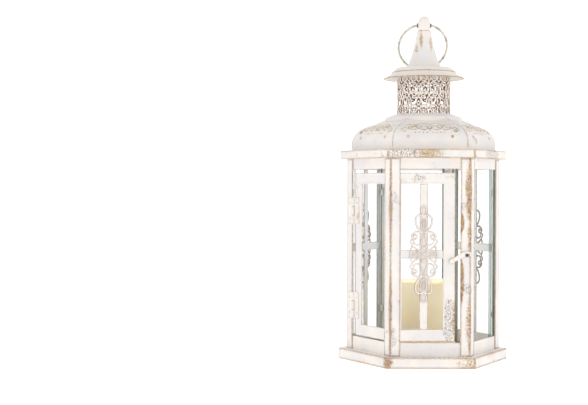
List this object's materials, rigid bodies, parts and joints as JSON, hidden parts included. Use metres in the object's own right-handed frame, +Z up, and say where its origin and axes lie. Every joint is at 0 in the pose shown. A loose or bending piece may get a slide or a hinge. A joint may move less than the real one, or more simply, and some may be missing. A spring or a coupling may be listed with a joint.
{
  "type": "candle lantern",
  "caption": "Six-sided glazed lantern with a hinged two-face door, pierced chimney, spun cap and carrying ring, holding a pillar candle.",
  "frame": {"origin": "on the resting surface under the lantern's axis", "axes": "+Z up the lantern; -Y out of the front face, which the door's latch edge meets; X through two corners of the body"},
  "size_m": [0.196, 0.1698, 0.4],
  "materials": {
    "distressed_paint": "cream paint rubbed through to gold-brown at the edges",
    "painted_wire": "thinly painted steel wire",
    "bare_steel": "dull zinc",
    "clear_glass": "clear float glass with green edges",
    "wax": "satin ivory wax",
    "wick_cotton": "waxed braided cotton"
  },
  "bodies": {
    "lantern_body": {"base_tray": "distressed_paint", "floor_plate": "distressed_paint", "bottom_rail": "distressed_paint", "top_rail": "distressed_paint", "post_left": "distressed_paint", "post_front_right": "distressed_paint", "post_right": "distressed_paint", "post_back_right": "distressed_paint", "post_back_left": "distressed_paint", "cross_back_left": "distressed_paint", "cross_back_right": "distressed_paint", "ornament_back_left": "distressed_paint", "ornament_back_right": "distressed_paint", "soffit_plate": "distressed_paint", "eave_band": "distressed_paint", "roof_panel_front": "distressed_paint", "roof_panel_right_front": "distressed_paint", "roof_panel_back_right": "distressed_paint", "roof_panel_back": "distressed_paint", "roof_panel_back_left": "distressed_paint", "roof_panel_left_front": "distressed_paint", "roof_collar": "distressed_paint", "chimney_filigree": "distressed_paint", "cap_brim": "distressed_paint", "cap_cone": "distressed_paint", "knob": "distressed_paint", "hinge_post_leaves": "distressed_paint", "hinge_pins": "distressed_paint", "hinge_post_rivets": "distressed_paint", "latch_stud": "distressed_paint", "cap_screw": "bare_steel", "cap_washer": "bare_steel", "cap_nut": "bare_steel", "glass_clips": "bare_steel", "ring_eyelets": "bare_steel", "glass_right_front": "clear_glass", "glass_back_right": "clear_glass", "glass_back": "clear_glass", "glass_back_left": "clear_glass", "candle": "wax", "wick": "wick_cotton"},
    "door": {"door_corner_post": "distressed_paint", "door_left_sash": "distressed_paint", "door_front_sash": "distressed_paint", "door_cross": "distressed_paint", "door_ornament": "distressed_paint", "door_left_glass": "clear_glass", "door_front_glass": "clear_glass", "door_glass_clips": "bare_steel", "hinge_door_leaves": "distressed_paint", "hinge_door_rivets": "distressed_paint", "latch_rivet": "distressed_paint"},
    "latch": {"latch_hook": "distressed_paint"},
    "ring": {"ring_handle": "painted_wire"}
  },
  "joints": [
    {"name": "door_hinge", "type": "hinge", "parent": "lantern_body", "child": "door", "pos_m": [-0.08273, -0.01266, 0.118], "axis": [0, 0, -1], "range_deg": [0, 120]},
    {"name": "latch_pivot", "type": "hinge", "parent": "door", "child": "latch", "pos_m": [0.0235, -0.0779, 0.1185], "axis": [0, -1, 0], "range_deg": [0, 75]},
    {"name": "ring_swing", "type": "hinge", "parent": "lantern_body", "child": "ring", "pos_m": [0, 0, 0.389], "axis": [1, 0, 0], "range_deg": [0, 298]}
  ]
}
